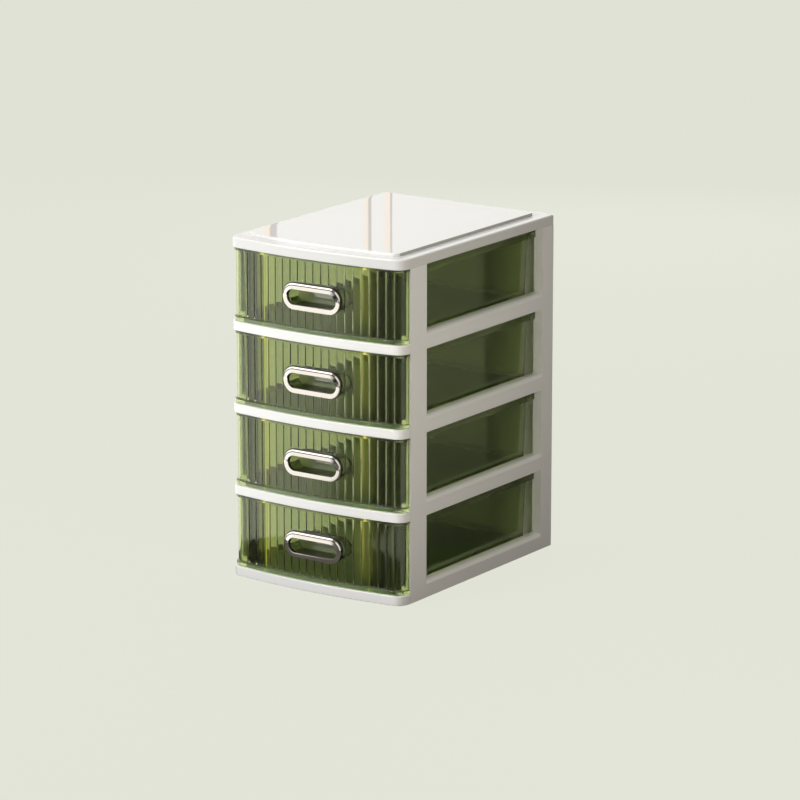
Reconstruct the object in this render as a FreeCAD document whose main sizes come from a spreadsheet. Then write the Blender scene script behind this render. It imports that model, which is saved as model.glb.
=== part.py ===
"""Desktop drawer organizer: a white frame of stacked tiers with clear drawers.

Millimetres, +Z up, the front towards -Y, the origin in the middle of the footprint.
Each tier is a shelf, two side frames, a back panel and a drawer. A cover closes the top.
"""
import FreeCAD
import Part
import Sketcher
import math
import os

TIERS = 4
REEDS = 20
CROSS_RIBS = 3
TOUCH = 1e-3

# Driving sizes
DRIVING = [
    ("overall_width", 250),
    ("body_depth", 336),
    ("tier_pitch", 101),
    ("bow_rise", 10),
    ("corner_radius", 15),
    ("rear_corner_bevel", 1.5),
    # Shelf with its nose
    ("nose_height", 11.5),
    ("shelf_plate", 2.5),
    ("shelf_wall", 2.4),
    ("shelf_fit", 0.2),
    ("shelf_rib_width", 1.8),
    ("shelf_rib_height", 4),
    # Side frame
    ("rail_width", 13),
    ("rail_face_height", 16.3),
    ("rail_round_drop", 3.8),
    ("rail_round_width", 7),
    ("front_post_setback", 1),
    ("front_post_width", 33.5),
    ("front_post_thickness", 6.5),
    ("rear_post_width", 25),
    ("ledge_width", 6),
    ("ledge_height", 3),
    ("peg_length", 16),
    ("peg_width", 3.4),
    ("peg_height", 4),
    ("peg_fit", 0.2),
    # Back panel
    ("back_thickness", 2),
    ("back_groove_depth", 3),
    ("back_inset", 4),
    ("back_fit", 0.1),
    # Top cover
    ("cover_height", 12.5),
    ("cover_edge_bevel", 2.5),
    ("cover_plate", 2.5),
    ("plateau_rise", 3.5),
    ("plateau_border", 17),
    ("plateau_corner_radius", 8),
    ("plateau_edge_bevel", 0.8),
    # Drawer box
    ("running_gap", 0.3),
    ("box_side_gap", 14.5),
    ("box_draft", 2.5),
    ("box_rear_gap", 7.5),
    ("box_wall", 2.2),
    ("box_floor", 2.4),
    ("box_corner_radius", 6),
    ("box_top_gap", 3.5),
    ("rim_width", 5.5),
    ("rim_thickness", 2),
    ("rim_drop", 8.7),
    ("rim_corner_bevel", 1),
    ("rim_wall", 1.6),
    ("rim_front_gap", 2),
    ("wing_edge", 75),
    # Drawer front
    ("front_gap", 0.6),
    ("front_end_gap", 0.4),
    ("flange_setback", 2),
    ("flange_side_setback", 1),
    ("top_flange", 3),
    ("bottom_flange", 4.5),
    ("field_setback", 7.5),
    ("field_side_setback", 1.8),
    ("front_wall", 2.5),
    ("front_joint_gap", 0.15),
    ("reed_pitch", 11.1),
    ("reed_crest", 7.2),
    ("reed_overlap", 0.3),
    ("reed_height", 1.8),
    # Handle and finger pocket
    ("handle_length", 87),
    ("handle_height", 33.5),
    ("handle_band", 6.5),
    ("handle_base", 1.5),
    ("handle_seat_gap", 0.05),
    ("handle_reach", 4),
    ("handle_visor_bevel", 2),
    ("pocket_lip", 0.4),
    ("pocket_depth", 22),
    ("pocket_wall", 2),
]

# Places and sizes that follow from the driving ones
DERIVED = [
    ("half_width", "overall_width / 2"),
    ("front_y", "-(body_depth - handle_reach) / 2"),
    ("rear_y", "front_y + body_depth"),
    ("bow_radius", "(half_width ^ 2 + bow_rise ^ 2) / (2 * bow_rise)"),
    ("bow_centre_y", "front_y + bow_radius"),
    # Side frame
    ("rail_inner_x", "half_width - rail_width"),
    ("rail_top_z", "rail_face_height + rail_round_drop"),
    ("rail_flat_x", "half_width - rail_round_width"),
    ("rail_round_radius", "(rail_round_width ^ 2 + rail_round_drop ^ 2) / (2 * rail_round_drop)"),
    ("rail_round_centre_z", "rail_top_z - rail_round_radius"),
    ("post_front_y", "front_y + bow_rise + corner_radius + front_post_setback"),
    ("post_back_y", "post_front_y + front_post_width"),
    ("post_inner_x", "half_width - front_post_thickness"),
    ("rear_post_y", "rear_y - rear_post_width"),
    ("rail_length", "rear_y - post_front_y"),
    ("ledge_x", "rail_inner_x - ledge_width"),
    ("front_peg_x", "half_width - front_post_thickness / 2"),
    ("front_peg_y", "(post_front_y + post_back_y) / 2"),
    ("rear_peg_x", "half_width - rail_width / 2"),
    ("rear_peg_y", "(rear_post_y + rear_y) / 2"),
    ("socket_width", "peg_width + 2 * peg_fit"),
    ("socket_length", "peg_length + 2 * peg_fit"),
    ("socket_depth", "peg_height + peg_fit"),
    # Back panel in its grooves
    ("back_rear_y", "rear_y - back_inset"),
    ("back_front_y", "back_rear_y - back_thickness"),
    ("groove_rear_y", "back_rear_y + back_fit"),
    ("groove_front_y", "back_front_y - back_fit"),
    ("groove_x", "rail_inner_x + back_groove_depth"),
    ("back_half_width", "groove_x - back_fit"),
    ("back_height", "tier_pitch - nose_height - back_fit"),
    ("groove_height", "tier_pitch - nose_height"),
    # Shelf
    ("shelf_half_width", "rail_inner_x - shelf_fit"),
    ("shelf_under_z", "nose_height - shelf_plate"),
    ("shelf_deck_height", "nose_height - ledge_height"),
    ("hollow_half_width", "shelf_half_width - shelf_wall"),
    ("hollow_front_y", "post_front_y + shelf_wall"),
    ("hollow_rear_y", "rear_y - shelf_wall"),
    ("cross_rib_pitch", f"(hollow_rear_y - hollow_front_y) / {CROSS_RIBS + 1}"),
    ("hollow_bow", "bow_radius - shelf_wall"),
    ("hollow_corner", "shelf_wall"),
    ("rib_z", "shelf_under_z - shelf_rib_height"),
    ("cross_rib_y", "hollow_front_y + cross_rib_pitch - shelf_rib_width / 2"),
    ("cross_rib_end_y", "cross_rib_y + shelf_rib_width"),
    # Top cover
    ("plateau_half_width", "half_width - plateau_border"),
    ("plateau_bow", "bow_radius - plateau_border"),
    ("plateau_rear_y", "rear_y - plateau_border"),
    ("cover_hollow_half_width", "plateau_half_width - cover_plate"),
    ("cover_hollow_bow", "plateau_bow - cover_plate"),
    ("cover_hollow_corner", "plateau_corner_radius - cover_plate"),
    ("cover_hollow_rear_y", "plateau_rear_y - cover_plate"),
    ("cover_hollow_depth", "cover_height + plateau_rise - cover_plate"),
    # Drawer front
    ("front_bottom_z", "nose_height + front_gap"),
    ("front_top_z", "tier_pitch - front_gap"),
    ("front_height", "front_top_z - front_bottom_z"),
    ("front_end_y", "post_front_y - front_end_gap"),
    ("flange_half_width", "half_width - flange_side_setback"),
    ("flange_bow", "bow_radius - flange_setback"),
    ("flange_corner_radius", "corner_radius - flange_side_setback"),
    ("top_flange_z", "front_top_z - top_flange"),
    ("field_half_width", "half_width - field_side_setback"),
    ("field_bow", "bow_radius - field_setback"),
    ("field_corner_radius", "corner_radius + front_post_setback - front_end_gap - field_setback"),
    ("front_inner_half_width", "field_half_width - front_wall"),
    ("front_inner_bow", "field_bow - front_wall"),
    ("front_inner_corner", "field_corner_radius - front_wall"),
    ("front_inner_rear_y", "front_end_y + front_wall"),
    ("reed_z", "front_bottom_z + bottom_flange"),
    ("reed_length", "top_flange_z - reed_z"),
    ("reed_step", "reed_pitch / field_bow * 180 / pi"),
    ("reed_sweep", f"reed_step * {REEDS - 1}"),
    ("reed_start", "-reed_sweep / 2"),
    ("reed_foot_x", "(reed_pitch + reed_overlap) / 2"),
    ("reed_crest_x", "reed_crest / 2"),
    ("reed_root_y", "-(field_bow - front_wall / 2)"),
    ("reed_foot_y", "-sqrt(field_bow ^ 2 - reed_foot_x ^ 2)"),
    ("reed_crest_y", "-(field_bow + reed_height)"),
    # Handle and finger pocket
    ("handle_z", "(front_bottom_z + front_top_z) / 2"),
    ("seat_y", "front_y + field_setback - reed_height - handle_seat_gap"),
    ("ring_radius", "handle_height / 2"),
    ("grip_radius", "ring_radius - handle_band"),
    ("handle_run", "handle_length / 2 - ring_radius"),
    ("handle_base_y", "seat_y - handle_base"),
    ("visor_length", "handle_base_y - front_y + handle_reach"),
    ("pocket_radius", "grip_radius + pocket_lip"),
    ("cup_radius", "pocket_radius + pocket_wall"),
    ("cup_y", "front_y + field_setback + front_wall / 2"),
    ("cup_depth", "seat_y + pocket_depth + pocket_wall - cup_y"),
    # Drawer box
    ("box_bottom_z", "nose_height + running_gap"),
    ("box_top_z", "tier_pitch - box_top_gap"),
    ("box_half_width", "half_width - box_side_gap"),
    ("box_foot_half_width", "box_half_width - box_draft"),
    ("box_bow", "front_inner_bow - front_joint_gap"),
    ("box_rear_y", "rear_post_y - box_rear_gap"),
    ("box_foot_rear_y", "box_rear_y - box_draft"),
    ("cavity_z", "box_bottom_z + box_floor"),
    ("cavity_half_width", "box_half_width - box_wall"),
    ("cavity_foot_half_width", "box_foot_half_width - box_wall"),
    ("cavity_bow", "box_bow - box_wall"),
    ("cavity_rear_y", "box_rear_y - box_wall"),
    ("cavity_foot_rear_y", "box_foot_rear_y - box_wall"),
    ("cavity_corner_radius", "box_corner_radius - box_wall"),
    ("rim_half_width", "box_half_width + rim_width"),
    ("rim_front_y", "front_end_y + rim_front_gap"),
    ("rim_rear_y", "box_rear_y + rim_width"),
    ("rim_under_half_width", "rim_half_width - rim_wall"),
    ("rim_under_front_y", "rim_front_y + rim_wall"),
    ("rim_under_rear_y", "rim_rear_y - rim_wall"),
    ("rim_z", "box_top_z - rim_drop"),
    ("rim_under_depth", "rim_drop - rim_thickness"),
    ("wing_height", "box_top_z - cavity_z"),
]

# Edges of the pegs and of the sockets that take them
for place in ("front", "rear"):
    for form in ("peg", "socket"):
        DERIVED += [
            (f"{place}_{form}_inner_x", f"{place}_peg_x - {form}_width / 2"),
            (f"{place}_{form}_outer_x", f"{place}_peg_x + {form}_width / 2"),
            (f"{place}_{form}_front_y", f"{place}_peg_y - {form}_length / 2"),
            (f"{place}_{form}_back_y", f"{place}_peg_y + {form}_length / 2"),
        ]

doc = FreeCAD.newDocument("drawer_organizer")
sheet = doc.addObject("Spreadsheet::Sheet", "sizes")


def fill_sheet():
    """Write each driving size as a number and each derived one as a formula."""
    rows = [(name, str(number)) for name, number in DRIVING]
    rows += [(name, "=" + formula) for name, formula in DERIVED]
    for row, (name, content) in enumerate(rows, start=1):
        sheet.set(f"A{row}", name)
        sheet.set(f"B{row}", content)
        sheet.setAlias(f"B{row}", name)
    doc.recompute()


def size(name):
    """A size from the sheet, as a number. A leading minus turns its sign."""
    if name.startswith("-"):
        return -float(sheet.get(name[1:]))
    return float(sheet.get(name))


def bind(target, path, name):
    """Tie a property to the sheet."""
    sign = "-" if name.startswith("-") else ""
    target.setExpression(path, f"{sign}sizes.{name.lstrip('-')}")


def point(x, y):
    return FreeCAD.Vector(x, y, 0)


def new_body(label):
    body = doc.addObject("PartDesign::Body", label)
    body.Label = label
    return body


def new_sketch(body, name, plane, offset=None):
    """A sketch on one of the body's own origin planes, or lifted along its normal."""
    sketch = body.newObject("Sketcher::SketchObject", name)
    role = f"{plane}_Plane"
    support = next(item for item in body.Origin.OriginFeatures if item.Role == role)
    sketch.AttachmentSupport = [(support, "")]
    sketch.MapMode = "FlatFace"
    if offset:
        bind(sketch, "AttachmentOffset.Base.z", offset)
    return sketch


def constrain(sketch, kind, *where, size_name):
    """A dimension in a sketch, tied to the sheet."""
    index = sketch.addConstraint(Sketcher.Constraint(kind, *where, size(size_name)))
    bind(sketch, f"Constraints[{index}]", size_name)


def polygon(sketch, corners):
    """A closed outline of straight lines through named places."""
    places = [point(size(x), size(y)) for x, y in corners]
    sides = []
    for here, there in zip(places, places[1:] + places[:1]):
        sides.append(sketch.addGeometry(Part.LineSegment(here, there), False))
    for first, second in zip(sides, sides[1:] + sides[:1]):
        sketch.addConstraint(Sketcher.Constraint("Coincident", first, 2, second, 1))
    for side, (x, y) in zip(sides, corners):
        constrain(sketch, "DistanceX", side, 1, size_name=x)
        constrain(sketch, "DistanceY", side, 1, size_name=y)


def rectangle(sketch, left, right, low, high):
    """An upright rectangle between four named places."""
    polygon(sketch, [(left, low), (right, low), (right, high), (left, high)])


def arc(centre, radius, start, end):
    circle = Part.Circle(centre, FreeCAD.Vector(0, 0, 1), radius)
    return Part.ArcOfCircle(circle, start, end)


def bowed_outline(sketch, half_width, bow, corner, rear, rear_corner=None):
    """A plan outline: bowed front, two round front corners, straight sides and rear."""
    x, bow_radius, r, y = size(half_width), size(bow), size(corner), size(rear)
    centre = point(0, size("bow_centre_y"))
    turn = math.asin((x - r) / (bow_radius - r))
    corner_y = centre.y - (bow_radius - r) * math.cos(turn)
    down = -math.pi / 2
    rear_r = size(rear_corner) if rear_corner else 0
    chain = {
        "bow": arc(centre, bow_radius, down - turn, down + turn),
        "right_front": arc(point(x - r, corner_y), r, down + turn, 0),
        "right": Part.LineSegment(point(x, corner_y), point(x, y - rear_r)),
        "right_rear": rear_corner and arc(point(x - rear_r, y - rear_r), rear_r, 0, math.pi / 2),
        "back": Part.LineSegment(point(x - rear_r, y), point(rear_r - x, y)),
        "left_rear": rear_corner and arc(point(rear_r - x, y - rear_r), rear_r,
                                         math.pi / 2, math.pi),
        "left": Part.LineSegment(point(-x, y - rear_r), point(-x, corner_y)),
        "left_front": arc(point(r - x, corner_y), r, math.pi, 2 * math.pi + down - turn),
    }
    names = [name for name, piece in chain.items() if piece]
    ids = {name: sketch.addGeometry(chain[name], False) for name in names}
    for first, second in zip(names, names[1:] + names[:1]):
        sharp = not rear_corner and "back" in (first, second)
        kind = "Coincident" if sharp else "Tangent"
        sketch.addConstraint(Sketcher.Constraint(kind, ids[first], 2, ids[second], 1))
    sketch.addConstraint(Sketcher.Constraint("Vertical", ids["right"]))
    sketch.addConstraint(Sketcher.Constraint("Vertical", ids["left"]))
    sketch.addConstraint(Sketcher.Constraint("Horizontal", ids["back"]))
    radii = {"bow": bow, "right_front": corner, "left_front": corner,
             "right_rear": rear_corner, "left_rear": rear_corner}
    for name, radius in radii.items():
        if name in ids:
            constrain(sketch, "Radius", ids[name], size_name=radius)
    constrain(sketch, "DistanceX", ids["right"], 1, size_name=half_width)
    constrain(sketch, "DistanceX", ids["left"], 2, size_name=f"-{half_width}")
    constrain(sketch, "DistanceY", ids["back"], 1, size_name=rear)
    sketch.addConstraint(Sketcher.Constraint("PointOnObject", ids["bow"], 3, -2))
    constrain(sketch, "DistanceY", ids["bow"], 3, size_name="bow_centre_y")


def stadium(sketch, radius):
    """A lying stadium about the handle's centre, on the XZ plane."""
    r, run, z = size(radius), size("handle_run"), size("handle_z")
    up, down = math.pi / 2, -math.pi / 2
    ids = [
        sketch.addGeometry(arc(point(run, z), r, down, up), False),
        sketch.addGeometry(Part.LineSegment(point(run, z + r), point(-run, z + r)), False),
        sketch.addGeometry(arc(point(-run, z), r, up, up + math.pi), False),
        sketch.addGeometry(Part.LineSegment(point(-run, z - r), point(run, z - r)), False),
    ]
    for first, second in zip(ids, ids[1:] + ids[:1]):
        sketch.addConstraint(Sketcher.Constraint("Tangent", first, 2, second, 1))
    constrain(sketch, "Radius", ids[0], size_name=radius)
    constrain(sketch, "DistanceX", ids[0], 3, size_name="handle_run")
    constrain(sketch, "DistanceY", ids[0], 3, size_name="handle_z")
    constrain(sketch, "DistanceX", ids[2], 3, size_name="-handle_run")
    constrain(sketch, "DistanceY", ids[2], 3, size_name="handle_z")


def half_ring(sketch):
    """The upper half of the handle's band."""
    outer, inner = size("ring_radius"), size("grip_radius")
    run, z = size("handle_run"), size("handle_z")
    up = math.pi / 2
    chain = [
        arc(point(run, z), outer, 0, up),
        Part.LineSegment(point(run, z + outer), point(-run, z + outer)),
        arc(point(-run, z), outer, up, math.pi),
        Part.LineSegment(point(-run - outer, z), point(-run - inner, z)),
        arc(point(-run, z), inner, up, math.pi),
        Part.LineSegment(point(-run, z + inner), point(run, z + inner)),
        arc(point(run, z), inner, 0, up),
        Part.LineSegment(point(run + inner, z), point(run + outer, z)),
    ]
    right, top, left, left_end, left_in, under, right_in, right_end = [
        sketch.addGeometry(piece, False) for piece in chain
    ]
    joints = [
        ("Tangent", right, 2, top, 1),
        ("Tangent", top, 2, left, 1),
        ("Coincident", left, 2, left_end, 1),
        ("Coincident", left_end, 2, left_in, 2),
        ("Tangent", left_in, 1, under, 1),
        ("Tangent", under, 2, right_in, 2),
        ("Coincident", right_in, 1, right_end, 1),
        ("Coincident", right_end, 2, right, 1),
        ("Coincident", right, 3, right_in, 3),
        ("Coincident", left, 3, left_in, 3),
        ("Horizontal", left_end),
        ("Horizontal", right_end),
    ]
    for joint in joints:
        sketch.addConstraint(Sketcher.Constraint(*joint))
    constrain(sketch, "Radius", right, size_name="ring_radius")
    constrain(sketch, "Radius", right_in, size_name="grip_radius")
    constrain(sketch, "DistanceX", right, 3, size_name="handle_run")
    constrain(sketch, "DistanceY", right, 3, size_name="handle_z")
    constrain(sketch, "DistanceX", left, 3, size_name="-handle_run")
    constrain(sketch, "DistanceY", right_end, 1, size_name="handle_z")
    constrain(sketch, "DistanceY", left_end, 1, size_name="handle_z")


def rail_profile(sketch):
    """The rail's section on the XZ plane: an upright face with a rounded shoulder."""
    inner, outer = size("rail_inner_x"), size("half_width")
    face, top = size("rail_face_height"), size("rail_top_z")
    flat, r = size("rail_flat_x"), size("rail_round_radius")
    centre = point(flat, top - r)
    start = math.atan2(face - centre.y, outer - flat)
    chain = [
        Part.LineSegment(point(inner, 0), point(outer, 0)),
        Part.LineSegment(point(outer, 0), point(outer, face)),
        arc(centre, r, start, math.pi / 2),
        Part.LineSegment(point(flat, top), point(inner, top)),
        Part.LineSegment(point(inner, top), point(inner, 0)),
    ]
    base, side, shoulder, ledge, inside = [sketch.addGeometry(piece, False) for piece in chain]
    joints = [
        ("Coincident", base, 2, side, 1),
        ("Coincident", side, 2, shoulder, 1),
        ("Tangent", shoulder, 2, ledge, 1),
        ("Coincident", ledge, 2, inside, 1),
        ("Coincident", inside, 2, base, 1),
        ("Horizontal", base),
        ("Vertical", side),
        ("Horizontal", ledge),
        ("Vertical", inside),
        ("PointOnObject", base, 1, -1),
    ]
    for joint in joints:
        sketch.addConstraint(Sketcher.Constraint(*joint))
    constrain(sketch, "DistanceX", base, 1, size_name="rail_inner_x")
    constrain(sketch, "DistanceX", side, 1, size_name="half_width")
    constrain(sketch, "DistanceY", side, 2, size_name="rail_face_height")
    constrain(sketch, "DistanceX", shoulder, 3, size_name="rail_flat_x")
    constrain(sketch, "DistanceY", shoulder, 3, size_name="rail_round_centre_z")


def reed_profile(sketch):
    """One reed's section, drawn about the centre of the bow: a flat crest between two flanks."""
    polygon(sketch, [
        ("-reed_crest_x", "reed_crest_y"),
        ("reed_crest_x", "reed_crest_y"),
        ("reed_foot_x", "reed_foot_y"),
        ("reed_foot_x", "reed_root_y"),
        ("-reed_foot_x", "reed_root_y"),
        ("-reed_foot_x", "reed_foot_y"),
    ])


def add_pad(body, sketch, length, reverse=False):
    pad = body.newObject("PartDesign::Pad", f"{sketch.Name}_pad")
    pad.Profile = sketch
    pad.Length = size(length)
    bind(pad, "Length", length)
    pad.Reversed = reverse
    doc.recompute()
    return pad


def add_pocket(body, sketch, depth, reverse=False):
    """A pocket that has to take material away."""
    before = body.Shape.Volume
    pocket = body.newObject("PartDesign::Pocket", f"{sketch.Name}_pocket")
    pocket.Profile = sketch
    pocket.Length = size(depth)
    bind(pocket, "Length", depth)
    pocket.Reversed = reverse
    doc.recompute()
    if body.Shape.Volume >= before:
        raise RuntimeError(f"{pocket.Name} removes nothing")
    return pocket


def add_row(body, feature, sketch, axis, count, pitch):
    """Repeat a feature in a straight row."""
    row = body.newObject("PartDesign::LinearPattern", f"{sketch.Name}_row")
    row.Originals = [feature]
    row.Direction = (sketch, [axis])
    row.Mode = "Spacing"
    row.Offset = size(pitch)
    bind(row, "Offset", pitch)
    row.Occurrences = count
    body.Tip = row
    doc.recompute()


def bevel_edges(body, amount, chosen):
    """Bevel the edges of the shape so far that a test picks out."""
    base = body.Tip
    names = [f"Edge{i}" for i, edge in enumerate(base.Shape.Edges, start=1) if chosen(edge)]
    feature = body.newObject("PartDesign::Chamfer", f"{body.Name}_{amount}")
    feature.Base = (base, names)
    bind(feature, "Size", amount)
    doc.recompute()


def level_edge(edge, z):
    """Whether an edge lies level at a height."""
    box = edge.BoundBox
    return abs(box.ZMin - z) < TOUCH and abs(box.ZMax - z) < TOUCH


def upright_edge(edge, x, y):
    """Whether an edge stands at a place in the plan, on either side."""
    box = edge.BoundBox
    upright = box.XLength < TOUCH and box.YLength < TOUCH
    return upright and abs(abs(box.Center.x) - abs(x)) < TOUCH and abs(box.Center.y - y) < TOUCH


def bevel_rear_corners(body):
    """Take the sharpness off the outer upright edges at the rear."""
    bevel_edges(body, "rear_corner_bevel",
                lambda edge: upright_edge(edge, size("half_width"), size("rear_y")))


def copy_body(source, label, tier):
    """The same moulding again, one or more tiers higher."""
    body = new_body(label)
    copy = doc.addObject("PartDesign::FeatureBase", f"{label}_copy")
    body.addObject(copy)
    copy.BaseFeature = source
    body.Tip = copy
    body.setExpression("Placement.Base.z", f"sizes.tier_pitch * {tier}")
    return body


def mirror_part(source, label):
    """The other-handed moulding."""
    mirrored = doc.addObject("Part::Mirroring", label)
    mirrored.Label = label
    mirrored.Source = source
    mirrored.Normal = FreeCAD.Vector(1, 0, 0)
    return mirrored


def make_shelf(label):
    """A ribbed plate whose front is the bowed nose between two drawers."""
    body = new_body(label)
    nose = new_sketch(body, "nose", "XY")
    bowed_outline(nose, "half_width", "bow_radius", "corner_radius", "post_front_y")
    add_pad(body, nose, "nose_height")
    deck = new_sketch(body, "deck", "XY", "ledge_height")
    rectangle(deck, "-shelf_half_width", "shelf_half_width", "post_front_y", "rear_y")
    add_pad(body, deck, "shelf_deck_height")
    tail = new_sketch(body, "tail", "XY")
    rectangle(tail, "-shelf_half_width", "shelf_half_width", "rear_post_y", "rear_y")
    add_pad(body, tail, "nose_height")
    hollow = new_sketch(body, "hollow", "XY")
    bowed_outline(hollow, "hollow_half_width", "hollow_bow", "hollow_corner", "hollow_rear_y")
    add_pocket(body, hollow, "shelf_under_z", reverse=True)
    cross_rib = new_sketch(body, "cross_rib", "XY", "rib_z")
    rectangle(cross_rib, "-hollow_half_width", "hollow_half_width", "cross_rib_y",
              "cross_rib_end_y")
    ribs = add_pad(body, cross_rib, "shelf_rib_height")
    add_row(body, ribs, cross_rib, "V_Axis", CROSS_RIBS, "cross_rib_pitch")
    return body


def make_side_frame(label):
    """The right-hand side: front post, rail with a rounded shoulder and rear post."""
    body = new_body(label)
    rail = new_sketch(body, "rail", "XZ", "-post_front_y")
    rail_profile(rail)
    add_pad(body, rail, "rail_length", reverse=True)
    front_post = new_sketch(body, "front_post", "XY")
    rectangle(front_post, "post_inner_x", "half_width", "post_front_y", "post_back_y")
    add_pad(body, front_post, "tier_pitch")
    rear_post = new_sketch(body, "rear_post", "XY")
    rectangle(rear_post, "rail_inner_x", "half_width", "rear_post_y", "rear_y")
    add_pad(body, rear_post, "tier_pitch")
    ledge = new_sketch(body, "ledge", "XY")
    rectangle(ledge, "ledge_x", "rail_inner_x", "hollow_front_y", "rear_post_y")
    add_pad(body, ledge, "ledge_height")
    groove = new_sketch(body, "groove", "XY", "nose_height")
    rectangle(groove, "rail_inner_x", "groove_x", "groove_front_y", "groove_rear_y")
    add_pocket(body, groove, "groove_height", reverse=True)
    for place in ("front", "rear"):
        peg = new_sketch(body, f"{place}_peg", "XY", "tier_pitch")
        rectangle(peg, f"{place}_peg_inner_x", f"{place}_peg_outer_x", f"{place}_peg_front_y",
                  f"{place}_peg_back_y")
        add_pad(body, peg, "peg_height")
        socket = new_sketch(body, f"{place}_socket", "XY")
        rectangle(socket, f"{place}_socket_inner_x", f"{place}_socket_outer_x",
                  f"{place}_socket_front_y", f"{place}_socket_back_y")
        add_pocket(body, socket, "socket_depth", reverse=True)
    bevel_rear_corners(body)
    return body


def make_back(label):
    """A thin panel that slides into the grooves of the rear posts."""
    body = new_body(label)
    panel = new_sketch(body, "panel", "XY", "nose_height")
    rectangle(panel, "-back_half_width", "back_half_width", "back_front_y", "back_rear_y")
    add_pad(body, panel, "back_height")
    return body


def make_cover(label):
    """The lid: a bowed slab with a raised field, hollow below, with sockets for the pegs."""
    body = new_body(label)
    slab = new_sketch(body, "slab", "XY")
    bowed_outline(slab, "half_width", "bow_radius", "corner_radius", "rear_y")
    add_pad(body, slab, "cover_height")
    bevel_rear_corners(body)
    plateau = new_sketch(body, "plateau", "XY", "cover_height")
    bowed_outline(plateau, "plateau_half_width", "plateau_bow", "plateau_corner_radius",
                  "plateau_rear_y", "plateau_corner_radius")
    add_pad(body, plateau, "plateau_rise")
    hollow = new_sketch(body, "hollow", "XY")
    bowed_outline(hollow, "cover_hollow_half_width", "cover_hollow_bow", "cover_hollow_corner",
                  "cover_hollow_rear_y")
    add_pocket(body, hollow, "cover_hollow_depth", reverse=True)
    for place in ("front", "rear"):
        inner, outer = f"{place}_socket_inner_x", f"{place}_socket_outer_x"
        for side, left, right in (("right", inner, outer), ("left", f"-{outer}", f"-{inner}")):
            socket = new_sketch(body, f"cover_{place}_socket_{side}", "XY")
            rectangle(socket, left, right, f"{place}_socket_front_y", f"{place}_socket_back_y")
            add_pocket(body, socket, "socket_depth", reverse=True)
    top = size("cover_height")

    def rim_edge(edge):
        """The outer top edge of the slab."""
        box = edge.BoundBox
        beside = max(-box.XMin, box.XMax) > size("plateau_half_width") + TOUCH
        behind = box.YMax > size("plateau_rear_y") + TOUCH
        ahead = box.YMin < size("front_y") + TOUCH
        return level_edge(edge, top) and (beside or behind or ahead)

    bevel_edges(body, "cover_edge_bevel", rim_edge)
    crown = top + size("plateau_rise")
    bevel_edges(body, "plateau_edge_bevel", lambda edge: level_edge(edge, crown))
    body.setExpression("Placement.Base.z", f"sizes.tier_pitch * {TIERS}")
    return body


def make_drawer_front(label):
    """The fluted front: reeds along the bow, a flange above and below, a finger pocket."""
    body = new_body(label)
    field = new_sketch(body, "field", "XY", "front_bottom_z")
    bowed_outline(field, "field_half_width", "field_bow", "field_corner_radius", "front_end_y")
    add_pad(body, field, "front_height")
    for name, place, height in (("foot", "front_bottom_z", "bottom_flange"),
                                ("head", "top_flange_z", "top_flange")):
        flange = new_sketch(body, name, "XY", place)
        bowed_outline(flange, "flange_half_width", "flange_bow", "flange_corner_radius",
                      "front_end_y")
        add_pad(body, flange, height)
    reed = new_sketch(body, "reed", "XY", "reed_z")
    bind(reed, "AttachmentOffset.Base.y", "bow_centre_y")
    bind(reed, "AttachmentOffset.Rotation.Angle", "reed_start")
    reed_profile(reed)
    first = add_pad(body, reed, "reed_length")
    row = body.newObject("PartDesign::PolarPattern", "reeds")
    row.Originals = [first]
    row.Axis = (reed, ["N_Axis"])
    row.Angle = size("reed_sweep")
    bind(row, "Angle", "reed_sweep")
    row.Occurrences = REEDS
    body.Tip = row
    doc.recompute()
    inside = new_sketch(body, "inside", "XY", "front_bottom_z")
    bowed_outline(inside, "front_inner_half_width", "front_inner_bow", "front_inner_corner",
                  "front_inner_rear_y")
    add_pocket(body, inside, "front_height", reverse=True)
    cup = new_sketch(body, "cup", "XZ", "-cup_y")
    stadium(cup, "cup_radius")
    add_pad(body, cup, "cup_depth", reverse=True)
    pocket = new_sketch(body, "pocket", "XZ", "-seat_y")
    stadium(pocket, "pocket_radius")
    add_pocket(body, pocket, "pocket_depth")
    return body


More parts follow.
